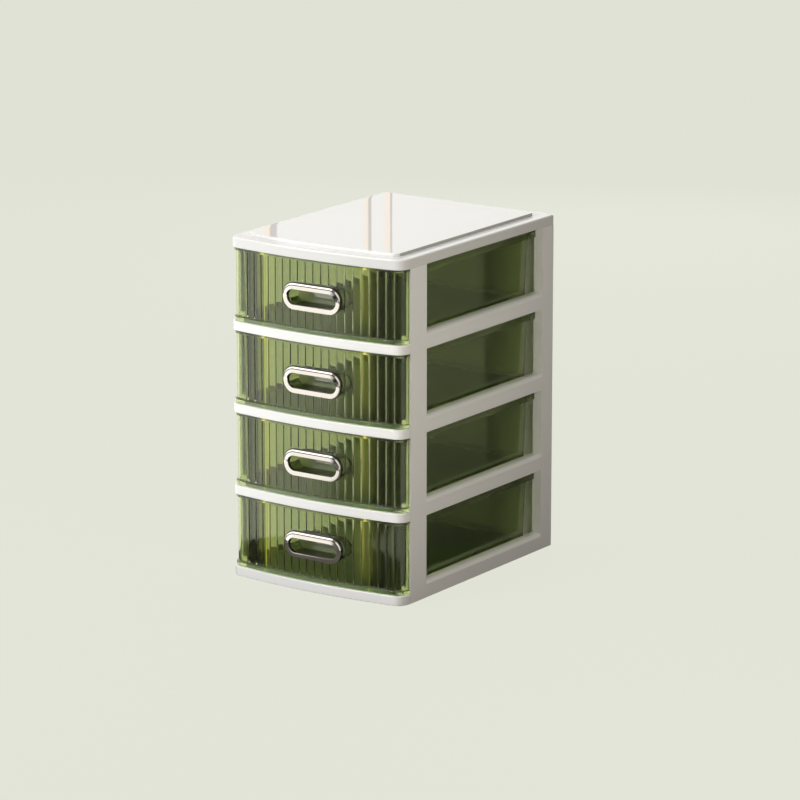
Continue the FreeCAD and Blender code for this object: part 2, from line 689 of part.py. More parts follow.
def make_drawer_box(label):
    """An open tray with drafted walls and a turned-down rim, open between two front wings."""
    body = new_body(label)
    rim = new_sketch(body, "rim", "XY", "rim_z")
    rectangle(rim, "-rim_half_width", "rim_half_width", "rim_front_y", "rim_rear_y")
    add_pad(body, rim, "rim_drop")
    bevel_edges(body, "rim_corner_bevel",
                lambda edge: upright_edge(edge, size("rim_half_width"), size("rim_rear_y")))
    under = new_sketch(body, "under", "XY", "rim_z")
    rectangle(under, "-rim_under_half_width", "rim_under_half_width", "rim_under_front_y",
              "rim_under_rear_y")
    add_pocket(body, under, "rim_under_depth", reverse=True)
    tray_foot = new_sketch(body, "tray_foot", "XY", "box_bottom_z")
    bowed_outline(tray_foot, "box_foot_half_width", "box_bow", "box_corner_radius",
                  "box_foot_rear_y", "box_corner_radius")
    tray_top = new_sketch(body, "tray_top", "XY", "box_top_z")
    bowed_outline(tray_top, "box_half_width", "box_bow", "box_corner_radius", "box_rear_y",
                  "box_corner_radius")
    tray = body.newObject("PartDesign::AdditiveLoft", "tray")
    tray.Profile = tray_foot
    tray.Sections = [tray_top]
    tray.Ruled = True
    doc.recompute()
    cavity_foot = new_sketch(body, "cavity_foot", "XY", "cavity_z")
    bowed_outline(cavity_foot, "cavity_foot_half_width", "cavity_bow", "cavity_corner_radius",
                  "cavity_foot_rear_y", "cavity_corner_radius")
    cavity_top = new_sketch(body, "cavity_top", "XY", "box_top_z")
    bowed_outline(cavity_top, "cavity_half_width", "cavity_bow", "cavity_corner_radius",
                  "cavity_rear_y", "cavity_corner_radius")
    cavity = body.newObject("PartDesign::SubtractiveLoft", "cavity")
    cavity.Profile = cavity_foot
    cavity.Sections = [cavity_top]
    cavity.Ruled = True
    doc.recompute()
    gate = new_sketch(body, "gate", "XY", "cavity_z")
    rectangle(gate, "-wing_edge", "wing_edge", "front_y", "rim_front_y")
    add_pocket(body, gate, "wing_height", reverse=True)
    return body


def make_handle(label):
    """A bright stadium ring around the pocket, with a projecting upper lip."""
    body = new_body(label)
    ring = new_sketch(body, "ring", "XZ", "-seat_y")
    stadium(ring, "ring_radius")
    add_pad(body, ring, "handle_base")
    grip = new_sketch(body, "grip", "XZ", "-handle_base_y")
    stadium(grip, "grip_radius")
    add_pocket(body, grip, "handle_base")
    visor = new_sketch(body, "visor", "XZ", "-handle_base_y")
    half_ring(visor)
    add_pad(body, visor, "visor_length")
    tip = size("handle_base_y") - size("visor_length")
    outer = size("ring_radius")
    middle = size("handle_z")

    def lip_edge(edge):
        """The outer front edge of the upper lip."""
        box = edge.BoundBox
        at_tip = abs(box.YMin - tip) < TOUCH and abs(box.YMax - tip) < TOUCH
        return at_tip and box.ZMax > middle + outer - TOUCH

    bevel_edges(body, "handle_visor_bevel", lip_edge)
    return body


def find_faults(objects):
    """Objects that failed to build, or whose shape is empty or broken."""
    faults = [item.Label for item in doc.Objects if {"Invalid", "Error"} & set(item.State)]
    for item in objects:
        if item.Shape.isNull() or not item.Shape.isValid() or len(item.Shape.Solids) != 1:
            faults.append(item.Label)
    return faults


def build():
    """Make the lowest tier's mouldings, repeat them upwards and close the top."""
    fill_sheet()
    makers = [
        ("shelf", make_shelf),
        ("right_side", make_side_frame),
        ("back_panel", make_back),
        ("drawer_box", make_drawer_box),
        ("drawer_front", make_drawer_front),
        ("handle", make_handle),
    ]
    pieces = []
    for name, maker in makers:
        first = maker(f"{name}_1")
        family = [first]
        for tier in range(1, TIERS):
            family.append(copy_body(first, f"{name}_{tier + 1}", tier))
        pieces += family
        if name == "right_side":
            for number, piece in enumerate(family, start=1):
                pieces.append(mirror_part(piece, f"left_side_{number}"))
    pieces.append(make_cover("top_cover"))
    doc.recompute()
    return pieces


pieces = build()
faults = find_faults(pieces)
if faults:
    raise RuntimeError(f"not built: {faults}")
os.makedirs("parts", exist_ok=True)
for piece in pieces:
    piece.Shape.exportStep(f"parts/{piece.Label}.step")
    box = piece.Shape.BoundBox
    print(f"{piece.Label}: {piece.Shape.Volume / 1000:.1f} cm3, y {box.YMin:.1f} to {box.YMax:.1f}, "
          f"z {box.ZMin:.1f} to {box.ZMax:.1f}")
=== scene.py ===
# %% [markdown]
# # A desk organizer with four clear drawers
# The object is a stack of four white plastic tiers under a glossy cover. Each tier holds one drawer
# of clear green plastic with a fluted, bowed front and a bright handle. The measured model comes
# first, because every piece made below takes its place from it.

# %% Load the measured model
import math

import bmesh
import bpy
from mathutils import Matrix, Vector


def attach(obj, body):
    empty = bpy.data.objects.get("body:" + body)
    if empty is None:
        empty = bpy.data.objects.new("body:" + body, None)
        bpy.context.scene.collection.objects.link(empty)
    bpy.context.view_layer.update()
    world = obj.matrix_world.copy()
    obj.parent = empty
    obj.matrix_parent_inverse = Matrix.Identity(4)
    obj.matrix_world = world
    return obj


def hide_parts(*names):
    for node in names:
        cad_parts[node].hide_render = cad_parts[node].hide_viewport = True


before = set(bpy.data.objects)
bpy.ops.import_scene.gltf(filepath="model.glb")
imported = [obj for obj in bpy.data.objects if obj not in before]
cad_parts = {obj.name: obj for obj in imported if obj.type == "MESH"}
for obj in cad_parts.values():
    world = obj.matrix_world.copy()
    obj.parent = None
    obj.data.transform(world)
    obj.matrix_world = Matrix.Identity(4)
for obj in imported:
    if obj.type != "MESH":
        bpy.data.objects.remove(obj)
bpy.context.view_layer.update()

scene = bpy.context.scene
scene.view_settings.view_transform = "Standard"
MM = 0.001
TIERS = range(1, 5)
TIER_PITCH = 101 * MM
print("nodes:", len(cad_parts))

# %% [markdown]
# ## Camera
# A long lens far away keeps upright edges nearly parallel, as in a catalogue picture. The direction
# comes from the two angles at which the front and the side are seen, and the small shifts across
# the view settle the object in the picture, just left of the middle.

# %% Set up the camera
AZIMUTH, ELEVATION = math.radians(34.33), math.radians(13.977)
FOCAL_PIXELS, IMAGE_PIXELS = 4354.4, 800
AIM = Vector((0, 2, 210))
DISTANCE, SHIFT_RIGHT, SHIFT_DOWN = 5267.4, 10.651, 8.538
backward = Vector((math.sin(AZIMUTH) * math.cos(ELEVATION),
                   -math.cos(AZIMUTH) * math.cos(ELEVATION), math.sin(ELEVATION)))
rightward = Vector((math.cos(AZIMUTH), math.sin(AZIMUTH), 0))
upward = backward.cross(rightward)
lens = bpy.data.cameras.new("camera")
lens.sensor_width = 36
lens.lens = FOCAL_PIXELS / IMAGE_PIXELS * lens.sensor_width
lens.clip_end = 100
camera = bpy.data.objects.new("camera", lens)
scene.collection.objects.link(camera)
camera.location = (AIM + backward * DISTANCE + rightward * SHIFT_RIGHT - upward * SHIFT_DOWN) * MM
camera.rotation_euler = backward.to_track_quat("Z", "Y").to_euler()
scene.camera = camera
print("camera at", tuple(round(c, 3) for c in camera.location), "lens", round(lens.lens, 1), "mm")

# %% [markdown]
# ## Arithmetic for finishes
# A finish is a network of nodes. Writing it as a network hides the sums in it, so one small class
# wraps a socket and lets Python's own signs add the Math nodes. The helpers below it find places on
# a piece: a smooth edge at one mark, or a stretch between two.


# %% Wrap a socket
class Wire:
    """A value in a material: its sums add Math nodes, and node() adds any other node."""

    def __init__(self, tree, socket=None):
        self.tree, self.socket = tree, socket

    def node(self, kind, settings=(), values=(), output=0):
        made = self.tree.nodes.new(kind)
        for name, value in dict(settings).items():
            setattr(made, name, value)
        for name, value in dict(values).items():
            if isinstance(value, Wire):
                self.tree.links.new(value.socket, made.inputs[name])
            else:
                made.inputs[name].default_value = value
        return Wire(self.tree, made.outputs[output] if made.outputs else None)

    def beside(self, output):
        """Another output of the same node."""
        return Wire(self.tree, self.socket.node.outputs[output])

    def math(self, operation, first, second):
        return self.node("ShaderNodeMath", {"operation": operation}, {0: first, 1: second})

    def __add__(self, other):
        return self.math("ADD", self, other)

    def __sub__(self, other):
        return self.math("SUBTRACT", self, other)

    def __mul__(self, other):
        return self.math("MULTIPLY", self, other)

    def __truediv__(self, other):
        return self.math("DIVIDE", self, other)

    def __rsub__(self, other):
        return self.math("SUBTRACT", other, self)

    __radd__, __rmul__ = __add__, __mul__

    def mix(self, first, second):
        """Two colours, mixed by this value."""
        return self.node("ShaderNodeMix", {"data_type": "RGBA"}, {0: self, 6: first, 7: second}, 2)


def new_finish(name):
    """An empty material and the start of its node tree."""
    material = bpy.data.materials.new(name)
    material.use_nodes = True
    material.node_tree.nodes.clear()
    return material, Wire(material.node_tree)


def end_finish(start, shader):
    start.node("ShaderNodeOutputMaterial", values={"Surface": shader})


def grain(start, scale, detail=2):
    """Even noise over a piece, in its own metres."""
    spot = start.node("ShaderNodeTexCoord", output="Object")
    return start.node("ShaderNodeTexNoise",
                      values={"Vector": spot, "Scale": scale, "Detail": detail})


def fade(value, low, high):
    """Nought up to low, one from high on, and smooth between them."""
    return value.node("ShaderNodeMapRange", {"interpolation_type": "SMOOTHSTEP"},
                      {"Value": value, "From Min": low, "From Max": high})


def within(value, rise_from, rise_to, fall_from, fall_to):
    """One on a stretch and nought beyond it, with a smooth edge at both ends."""
    return fade(value, rise_from, rise_to) * (1 - fade(value, fall_from, fall_to))


def own_place(start):
    """Across, deep and up in a piece's own mm, the first without its sign."""
    across = start.node("ShaderNodeSeparateXYZ",
                        values={0: start.node("ShaderNodeTexCoord", output="Object")})
    return start.math("ABSOLUTE", across, 0) / MM, across.beside("Y") / MM, across.beside("Z") / MM


print("sums ready")

# %% [markdown]
# ## White plastic
# The frame is moulded in glossy white plastic. A mould leaves it almost even, with a slow change of
# tone where the melt flowed, and a very fine unevenness that breaks up the gloss. The cover is a
# shade greyer than the tiers. Painted shade darkens it as a grey line on the side walls of its raised
# field and as a thin film on the low rim in front. The bow's centre says where that rim begins.

# %% Make the white plastics
BOW_CENTRE = 620.25
# Colour of the painted shade on the side walls and the low rim of the cover.
STEP_SHADE = (0.42, 0.41, 0.39, 1)


def white_finish(name, tone, haze, painted_shade=None):
    """Glossy white plastic about a tone, with some haze, darkened where painted shade is given."""
    finish, start = new_finish(name)
    flow, fine = grain(start, 9), grain(start, 420, 3)
    colour = flow.mix((tone - 0.02, tone - 0.025, tone - 0.03, 1),
                      (tone + 0.02, tone + 0.015, tone + 0.01, 1))
    if painted_shade:
        colour = painted_shade(start).mix(colour, STEP_SHADE)
    bump = start.node("ShaderNodeBump",
                      values={"Height": fine, "Strength": haze * 0.5, "Distance": 0.0002})
    end_finish(start, start.node("ShaderNodeBsdfPrincipled", values={
        "Base Color": colour, "Roughness": haze + flow * haze + fine * haze, "IOR": 1.5,
        "Normal": bump}))
    print(name, len(finish.node_tree.nodes), "nodes")
    return finish


def painted_step_shade(start):
    """Painted shade on the side walls of the cover's raised field, and a thin painted shade on the
    low rim in front.
    """
    across, deep, up = own_place(start)
    back_from_bow = deep - BOW_CENTRE
    reach = start.math("SQRT", across * across + back_from_bow * back_from_bow, 0)
    rim_level = within(up, 415.9, 416.3, 416.9, 417.2)
    side_wall = within(across, 107.4, 107.7, 108.3, 108.6) * fade(up, 416.5, 416.8)
    # Painted shade: a dark line at the foot of the front wall, and a thin shade over the low rim.
    front_line = within(reach, 769, 769.1, 769.8, 770.4) * rim_level * 0.45
    front_rim_shade = rim_level * fade(reach, 769, 769.1) * 0.22
    return start.math("MAXIMUM", side_wall, start.math("MAXIMUM", front_line, front_rim_shade))


white_plastic = white_finish("white_plastic", 0.90, 0.04)
white_cover = white_finish("white_cover", 0.76, 0.012, painted_step_shade)

# %% [markdown]
# ## Clear green plastic
# The drawers are moulded in clear plastic with an olive green dye, so light that passes two walls
# is darker than light that passes one. Dye, gloss, painted shade and painted glow change from place
# to place, and each place is found from the piece's own measures, so that it moves along when the
# drawer slides.

# %% Start the clear green plastic
RING_RUN, RING_MIDDLE = 25.5, 53.5
NO_GLOW = (0, 0, 0, 1)


def clear_plastic(name):
    """Clear plastic with an even dye: its material, and the parts that a piece may still change."""
    finish, start = new_finish(name)
    flow, fine = grain(start, 14), grain(start, 160, 3)
    dye = flow.mix((0.560, 0.622, 0.365, 1), (0.600, 0.662, 0.395, 1))
    bump = start.node("ShaderNodeBump",
                      values={"Height": fine, "Strength": 0.006, "Distance": 0.0002})
    return finish, start, dye, 0.004 + fine * 0.012, bump


def end_plastic(start, dye, roughness, bump, glow, polish=0):
    end_finish(start, start.node("ShaderNodeBsdfPrincipled", values={
        "Base Color": dye, "Roughness": roughness, "IOR": 1.57, "Transmission Weight": 1,
        "Normal": bump, "Coat Weight": polish, "Coat IOR": 2,
        "Emission Color": glow, "Emission Strength": 1}))


def from_ring(start, across, up):
    """Distance in mm from the middle line of the handle's ring, seen from the front."""
    past_run, rise = start.math("MAXIMUM", across - RING_RUN, 0), up - RING_MIDDLE
    return start.math("SQRT", past_run * past_run + rise * rise, 0)


print("clear plastic ready")

# %% [markdown]
# ### The boxes
# The thicker wings at the front of a box are deeper in tone, and their cut edges carry a painted
# yellow glow for the light that gathers inside the wall, most of all at the top. The bottom of a box
# is scuffed satin by what lies in it, and its dye is painted paler as painted light.

# %% Make the green of the boxes
WING_DYE, BOTTOM_PAINTED_LIGHT = (0.30, 0.32, 0.20, 1), (0.56, 0.69, 0.36, 1)
# Painted glow on the wings' cut edges, brightest at the top.
PAINTED_EDGE_GLOW, PAINTED_EDGE_TIP_GLOW = (0.52, 0.50, 0.06, 1), (1, 0.9, 0.12, 1)
box_green, start, dye, roughness, bump = clear_plastic("box_green")
across, deep, up = own_place(start)
at_front = 1 - fade(deep, -141, -139)
wing = within(across, 75.5, 76, 103, 106) * at_front
cut_edge = within(across, 74.5, 74.7, 75.3, 75.5) * at_front
edge_tip = cut_edge * fade(up, 93, 96)
glow = edge_tip.mix(cut_edge.mix(NO_GLOW, PAINTED_EDGE_GLOW), PAINTED_EDGE_TIP_GLOW)
# The bottom is rougher, and its paler dye is painted light.
bottom = 1 - fade(up, 14.4, 14.8)
dye = bottom.mix(wing.mix(dye, WING_DYE), BOTTOM_PAINTED_LIGHT)
end_plastic(start, dye, roughness + bottom * 0.4, bump, glow)
print("green of the boxes:", len(box_green.node_tree.nodes), "nodes")

# %% [markdown]
# ### The fronts
# The corners at the foot flange and under the head hold a dark line of painted shade, and the foot
# flange is painted paler, with a faint glow, as painted light. The pocket was left satin by the tool
# that cut it, and its sides were polished again; its floor is painted dark as shade. Yellow light
# from the edges of the wings behind is painted as a glow: a soft veil, a thin streak and, under the
# head, a few flecks.

# %% Make the green of the fronts
# Painted shade in the corners, painted light and glow on the foot flange.
SEAM_SHADE, FLANGE_PAINTED_LIGHT = (0.12, 0.13, 0.06, 1), (0.80, 0.86, 0.62, 1)
# The pocket floor's dark dye is painted shade.
POCKET_DYE, POCKET_FLOOR_SHADE = (0.50, 0.54, 0.36, 1), (0.22, 0.26, 0.08, 1)
PAINTED_VEIL_GLOW, PAINTED_STREAK_GLOW = (0.020, 0.021, 0.002, 1), (0.15, 0.13, 0.018, 1)
PAINTED_FLECK_GLOW, PAINTED_FLANGE_GLOW = (0.45, 0.4, 0.08, 1), (0.03, 0.048, 0.018, 1)
front_green, start, dye, roughness, bump = clear_plastic("front_green")
across, deep, up = own_place(start)
flange_level = 1 - fade(up, 16.2, 16.3)
seam_shade = within(up, 16.4, 16.5, 17, 17.3) + fade(up, 98.9, 99.1)
pocket = fade(deep, -157.4, -157) * (1 - fade(from_ring(start, across, up), 11.2, 11.5))
pocket_floor = pocket * (1 - fade(up, 43.4, 44))
dye = flange_level.mix(seam_shade.mix(dye, SEAM_SHADE), FLANGE_PAINTED_LIGHT)
dye = pocket_floor.mix(pocket.mix(dye, POCKET_DYE), POCKET_FLOOR_SHADE)
# Painted yellow glow from the wings' edges: veil, streak and flecks.
veil = within(across, 52, 64, 76, 90) * fade(up, 17, 40)
streak = within(across, 67, 67.4, 68.6, 69.4) * fade(up, 20, 75) * fade(deep, -158.5, -158)
flecks = within(across, 67, 70, 75, 78) * fade(up, 97.2, 97.5) * fade(grain(start, 330), 0.44, 0.56)
flange_painted_glow = flange_level * (1 - fade(across, 100, 116) * 0.8)
glow = streak.mix(veil.mix(NO_GLOW, PAINTED_VEIL_GLOW), PAINTED_STREAK_GLOW)
glow = flange_painted_glow.mix(flecks.mix(glow, PAINTED_FLECK_GLOW), PAINTED_FLANGE_GLOW)
roughness = roughness + seam_shade * 0.35 + pocket * 0.3 + pocket_floor * 0.3
end_plastic(start, dye, roughness, bump, glow, polish=pocket - pocket_floor)
print("green of the fronts:", len(front_green.node_tree.nodes), "nodes")

# %% [markdown]
# ## Bright trim
# The handles are plated: a mirror with a warm tint and a trace of haze. In a crease and down at
# the foot of the ring the plating is painted dark and dull, as painted shade, so those places are
# found from the distance to the ring's middle line and darkened.

# %% Make the bright trim
TRIM_SHADE = (0.022, 0.019, 0.015, 1)
bright_trim, start = new_finish("bright_trim")
haze = grain(start, 240, 4)
across, deep, up = own_place(start)
out = from_ring(start, across, up)
# Painted shade in the crease and at the foot of the ring.
crease = within(out, 13.75, 13.9, 14.7, 14.95) * fade(up, RING_MIDDLE + 2, RING_MIDDLE + 5)
foot = start.math("MAXIMUM", fade(deep, -163.5, -163.2), 1 - fade(out, 9.5, 9.8))
painted_trim_shade = start.math("MAXIMUM", crease, foot)
tone = painted_trim_shade.mix(haze.mix((0.82, 0.79, 0.74, 1), (0.88, 0.85, 0.80, 1)), TRIM_SHADE)
end_finish(start, start.node("ShaderNodeBsdfPrincipled", values={
    "Base Color": tone, "Metallic": 1 - painted_trim_shade * 0.5,
    "Roughness": 0.03 + haze * 0.05 + painted_trim_shade * 0.25}))
print("bright trim:", len(bright_trim.node_tree.nodes), "nodes")

# %% [markdown]
# ## Soft edges
# No moulding has a truly sharp edge, and the thin bright line along an edge is most of what makes
# plastic look real. So each frame piece and each drawer box starts as a copy of the measured shape,
# its flat faces are joined up again, and its edges are rounded over.


# %% Round the edges of a copy
def smooth_mesh(work, name, crisp=35):
    """The finished mesh, shaded smooth apart from edges that turn by more than crisp degrees."""
    for face in work.faces:
        face.smooth = True
    mesh = bpy.data.meshes.new(name)
    work.to_mesh(mesh)
    work.free()
    mesh.set_sharp_from_angle(angle=math.radians(crisp))
    return mesh


def soften(node, width, segments=2, skip=lambda edge: False):
    """A copy of a node's mesh with every sharp edge rounded over, apart from those to skip."""
    work = bmesh.new()
    work.from_mesh(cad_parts[node].data)
    bmesh.ops.remove_doubles(work, verts=work.verts, dist=0.002 * MM)
    bmesh.ops.dissolve_limit(work, angle_limit=math.radians(0.5), verts=work.verts,
                             edges=work.edges)
    sharp = [edge for edge in work.edges
             if edge.is_manifold and edge.calc_face_angle() > math.radians(28) and not skip(edge)]
    bmesh.ops.bevel(work, geom=sharp, offset=width, segments=segments, profile=0.5, affect="EDGES",
                    clamp_overlap=True)
    return smooth_mesh(work, node + "_soft")


def place(mesh, name, body, node, material, lift=0):
    """One piece from a mesh, raised to its tier, riding on its body in place of its node."""
    mesh.materials.clear()
    mesh.materials.append(material)
    piece = bpy.data.objects.new(name, mesh)
    scene.collection.objects.link(piece)
    piece.location.z = lift
    even = piece.modifiers.new("even_normals", "WEIGHTED_NORMAL")
    even.keep_sharp = True
    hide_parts(node)
    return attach(piece, body)


def repeat(mesh, family, body, material):
    """The same moulding in each of the four tiers."""
    for k in TIERS:
        place(mesh, f"{family}_{k}_soft", body.format(k), f"{family}_{k}", material,
              TIER_PITCH * (k - 1))
    print(family, "x", len(TIERS), "-", len(mesh.polygons), "faces each")


print("rounding ready")

# %% [markdown]
# ## Bowed outlines
# The cover and the drawer fronts share one plan: a shallow bow, two round front corners and straight
# sides. Lofting between such outlines, one ring of points over another, gives edges that are truly
# round, which a cut and filed block would need many small faces for.

# %% Draw the bowed outline and join rings
HALF_WIDTH, NOSE_BOW, NOSE_CORNER, REAR = 125, 786.25, 15, 170


def flat(along):
    """A wall with no reeds."""
    return 0


def bowed_plan(half_width, bow, corner, end_y, stations, reed=flat, rear_corner=None):
    """Plan points in mm, from the left end round the bow to the right end."""
    turn = math.asin((half_width - corner) / (bow - corner))
    corner_y = BOW_CENTRE - (bow - corner) * math.cos(turn)
    right = []
    for k in range(13):
        angle = turn + (math.pi / 2 - turn) * k / 12
        right.append((half_width - corner + corner * math.sin(angle),
                      corner_y - corner * math.cos(angle)))
    if rear_corner is None:
        right.append((half_width, end_y))
    else:
        for k in range(9):
            angle = math.pi / 2 * k / 8
            right.append((half_width - rear_corner + rear_corner * math.cos(angle),
                          end_y - rear_corner + rear_corner * math.sin(angle)))
    front = []
    for share in stations:
        angle, reach = share * turn, bow + reed(share * turn * bow)
        front.append((reach * math.sin(angle), BOW_CENTRE - reach * math.cos(angle)))
    left = [(-x, y) for x, y in reversed(right)]
    return left + front + right


def join_rings(name, rings, loop):
    """A closed skin over rings of points in mm.

    A loop is capped above and below, and a strip at its two ends.
    """
    work = bmesh.new()
    rows = [[work.verts.new((x * MM, y * MM, z * MM)) for x, y in plan] for plan, z in rings]
    count = len(rows[0])
    pairs = list(zip(rows, rows[1:]))
    if loop:
        steps = [(i, (i + 1) % count) for i in range(count)]
        work.faces.new(rows[0])
        work.faces.new(rows[-1])
    else:
        steps = [(i, i + 1) for i in range(count - 1)]
        pairs.append((rows[-1], rows[0]))
        work.faces.new([row[0] for row in rows])
        work.faces.new([row[-1] for row in rows])
    for low, high in pairs:
        for i, j in steps:
            work.faces.new((low[i], low[j], high[j], high[i]))
    bmesh.ops.recalc_face_normals(work, faces=work.faces)
    return smooth_mesh(work, name)


nose_plan = bowed_plan(HALF_WIDTH, NOSE_BOW, NOSE_CORNER, REAR, [0])
print("outline of the nose:", len(nose_plan), "points at least")

# %% [markdown]
# ## The white frame
# Each tier is a shelf with a bowed nose, two side frames with a window each, and a back panel. They
# are moulded once and used four times. Edges where one tier stands on the next stay tight, as a
# rounded edge there would show a groove that the stack doesn't have.


# %% Make the frame pieces
def at_joint(edge):
    """An edge where one tier stands on the next, which stays tight."""
    rises = [v.co.z % TIER_PITCH for v in edge.verts]
    return all(min(rise, TIER_PITCH - rise) < 0.02 * MM for rise in rises)


repeat(soften("shelf_1", 0.8 * MM), "shelf", "frame", white_plastic)
for family in ("left_side", "right_side", "back_panel"):
    repeat(soften(family + "_1", 0.5 * MM, skip=at_joint), family, "frame", white_plastic)

# %% [markdown]
# ## The cover
# The cover is a shallow lid with a rounded rim and a low raised field, hollow underneath. It is the
# glossiest piece, so its edges are lofted as true quarter rounds.

# %% Make the cover
COVER_STATIONS = [k / 16 for k in range(-15, 16)]
COVER_FOOT, COVER_CEILING, RIM_ROUND = 404, 417.5, 414.5
RAISED_FOOT, RAISED_ROUND = 416.5, 419.5
RAISED_BORDER, RAISED_CORNER = 17, 8


def quarter_round(radius, steps=6):
    """How far a rounded edge has moved in and up, step by step."""
    turns = [math.pi / 2 * k / steps for k in range(steps + 1)]
    return [(radius * (1 - math.cos(turn)), radius * math.sin(turn)) for turn in turns]


def cover_ring(inset, z, corner=NOSE_CORNER, rear_corner=3):
    plan = bowed_plan(HALF_WIDTH - inset, NOSE_BOW - inset, corner, REAR - inset, COVER_STATIONS,
                      rear_corner=rear_corner)
    return plan, z


def raised_ring(inset, z):
    """An outline of the raised field, with the same corner radius front and rear."""
    corner = RAISED_CORNER - inset
    return cover_ring(RAISED_BORDER + inset, z, corner, corner)


rings = [raised_ring(2.5, COVER_CEILING), raised_ring(2.5, COVER_FOOT)]
rings += [cover_ring(0.4, COVER_FOOT, NOSE_CORNER - 0.4, 2.6), cover_ring(0, COVER_FOOT + 0.4)]
rings += [cover_ring(inset, RIM_ROUND + up, NOSE_CORNER - inset, max(3 - inset, 0.4))
          for inset, up in quarter_round(2)]
rings += [raised_ring(-0.1, RAISED_FOOT), raised_ring(0, RAISED_FOOT + 0.1)]
rings += [raised_ring(inset, RAISED_ROUND + up) for inset, up in quarter_round(0.5, 4)]
cover_mesh = join_rings("top_cover_soft", rings, loop=True)
place(cover_mesh, "top_cover_soft", "frame", "top_cover", white_cover)
print("cover:", len(cover_mesh.polygons), "faces")

# %% [markdown]
# ## The drawers
# A drawer is a clear box with a rim, a fluted front fixed to it, and a handle. The box keeps its
# measured shape with softened edges, because its wings and rim are seen through the front.

# %% Make the drawer boxes
repeat(soften("drawer_box_1", 0.4 * MM), "drawer_box", "drawer_{}", box_green)

# %% [markdown]
# ## The fluted front
# Each front carries twenty upright reeds, nearly flat on the crest with a narrow groove between them,
# a flange along the foot and the head, and a pocket for the fingers. The reeds are part of the
# outline, so the whole wall is one lofted skin, and the pocket is joined on and cut out of it.

# %% Lay out the reeds
REEDS, REED_PITCH = 20, 11.1
HALF_FLUTED = REEDS * REED_PITCH / 2
REED_SHAPE = [(0, 1.80), (0.8, 1.797), (1.6, 1.789), (2.4, 1.775), (3.2, 1.755), (4, 1.728),
              (4.5, 1.68), (4.75, 1.54), (4.98, 1.25), (5.4, 0.7), (5.55, 0.6)]
FIELD = FIELD_HALF, FIELD_BOW, FIELD_CORNER = 123.2, 778.75, 8.1
FIELD_TURN = math.asin((FIELD_HALF - FIELD_CORNER) / (FIELD_BOW - FIELD_CORNER))


def reed_height(along):
    """How far the wall stands out at a distance along the bow."""
    if abs(along) > HALF_FLUTED:
        return 0
    across = abs((along + HALF_FLUTED) % REED_PITCH - REED_PITCH / 2)
    for (near, high), (far, low) in zip(REED_SHAPE, REED_SHAPE[1:]):
        if across <= far + 1e-6:
            return high + (low - high) * (across - near) / (far - near)
    return REED_SHAPE[-1][1]


def reed_stations():
    """Points along the bow, close together at each groove, as shares of the half bow."""
    points = set()
    for k in range(REEDS):
        middle = (k - (REEDS - 1) / 2) * REED_PITCH
        for across, _ in REED_SHAPE:
            points |= {round(middle - across, 3), round(middle + across, 3)}
    end = HALF_FLUTED + 0.2
    return [along / (FIELD_BOW * FIELD_TURN) for along in sorted(points | {-end, end})]


FRONT_STATIONS = reed_stations()
print("points along a fluted wall:", len(FRONT_STATIONS))

# %% [markdown]
# ### Wall and pocket
# The wall is lofted from the inside of the foot, round both flanges, to the inside of the head. A
# mould would form the pocket with a core. Here a seat for the ring and a cup are joined to the wall,
# and a round-ended block then cuts the pocket out of both.

# %% Make the fluted fronts
FRONT_REAR, POCKET_RUN, SEAT_MIDDLE = -140.4, 26.75, 55.3
INSIDE = 120.7, 776.25, 5.6
FOOT, LEDGE, SOFFIT, HEAD = 12.1, 16.6, 97.4, 100.4


def front_ring(outline, z, reed=flat):
    return bowed_plan(*outline, FRONT_REAR, FRONT_STATIONS, reed), z


def flange(inset, z):
    return front_ring((124 - inset, 784.25 - inset, 14 - inset), z)


def stadium_block(name, radius, near_y, far_y, run, middle_z):
    """A solid with a round-ended section, lying along the depth, in mm."""
    outline = []
    for k in range(33):
        angle = math.pi * k / 32 - math.pi / 2
        outline.append((run + radius * math.cos(angle), middle_z + radius * math.sin(angle)))
    outline += [(-x, 2 * middle_z - z) for x, z in outline]
    mesh = bpy.data.meshes.new(name)
    work = bmesh.new()
    rows = [[work.verts.new((x * MM, y * MM, z * MM)) for x, z in outline]
            for y in (near_y, far_y)]
    for row in rows:
        work.faces.new(row)
    for i in range(len(outline)):
        j = (i + 1) % len(outline)
        work.faces.new((rows[0][i], rows[0][j], rows[1][j], rows[1][i]))
    bmesh.ops.recalc_face_normals(work, faces=work.faces)
    work.to_mesh(mesh)
    work.free()
    return bpy.data.objects.new(name, mesh)


def carve(mesh, steps):
    """Join blocks on or cut them out, one after the other, and give back the finished mesh."""
    body = bpy.data.objects.new(mesh.name, mesh)
    scene.collection.objects.link(body)
    for operation, block in steps:
        scene.collection.objects.link(block)
        cut = body.modifiers.new(operation, "BOOLEAN")
        cut.operation, cut.object, cut.solver = operation, block, "EXACT"
    solved = body.evaluated_get(bpy.context.evaluated_depsgraph_get())
    made = bpy.data.meshes.new_from_object(solved)
    for used in [body] + [block for _, block in steps]:
        bpy.data.objects.remove(used)
    for polygon in made.polygons:
        polygon.use_smooth = True
    made.set_sharp_from_angle(angle=math.radians(35))
    return made


